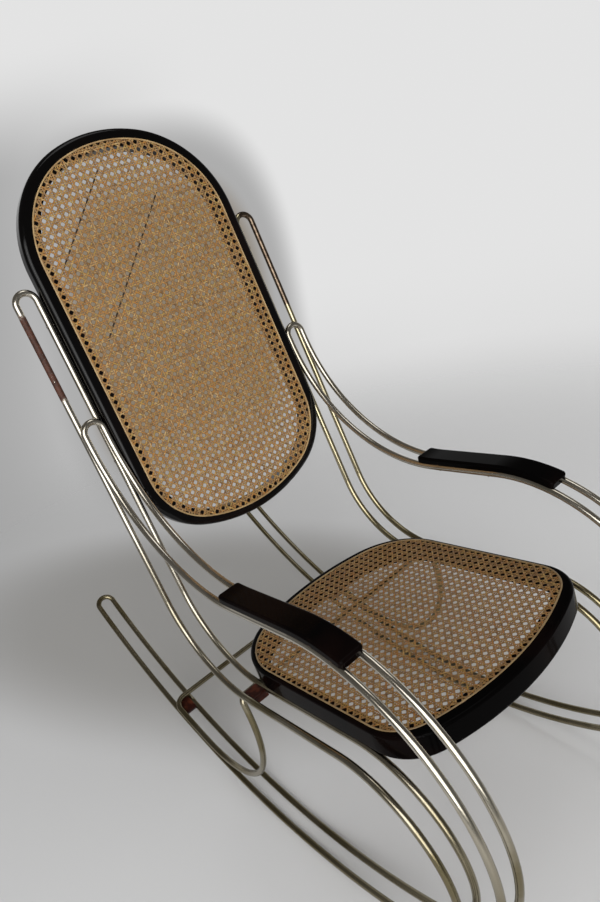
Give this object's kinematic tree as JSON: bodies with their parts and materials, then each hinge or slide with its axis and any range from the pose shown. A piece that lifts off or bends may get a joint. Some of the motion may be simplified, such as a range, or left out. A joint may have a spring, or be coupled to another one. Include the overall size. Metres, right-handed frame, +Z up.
{
  "type": "rocking chair",
  "caption": "Rocking chair of paired bent steel tubes: looped arms run on into curved runners, with a long oval caned back, a rounded caned seat and slim wooden armrests.",
  "frame": {"origin": "on the floor in the chair's middle plane, at the runners' contact line when the empty chair stands still", "axes": "+Z up, the chair faces -Y, +X is the sitter's left"},
  "size_m": [0.488, 1.1212, 1.1787],
  "materials": {
    "plated_steel": "polished plating with a warm tarnish",
    "black_lacquer": "gloss black lacquer with worn edges",
    "woven_cane": "satin natural cane",
    "cane_spline": "satin natural reed",
    "red_block": "gloss dark red lacquer",
    "screw_steel": "satin"
  },
  "bodies": {
    "root": {"arm_rocker_loop_left": "plated_steel", "arm_rocker_loop_right": "plated_steel", "seat_back_loop_left": "plated_steel", "seat_back_loop_right": "plated_steel", "scroll_stretcher": "plated_steel", "back_frame": "black_lacquer", "seat_frame": "black_lacquer", "armrest_left": "black_lacquer", "armrest_right": "black_lacquer", "back_cane": "woven_cane", "seat_cane": "woven_cane", "back_spline": "cane_spline", "seat_spline": "cane_spline", "runner_block_left": "red_block", "runner_block_right": "red_block", "seat_block_left": "red_block", "seat_block_right": "red_block", "block_screws": "screw_steel", "back_frame_screws": "screw_steel", "seat_frame_screws": "screw_steel", "armrest_screws": "screw_steel"}
  },
  "joints": []
}
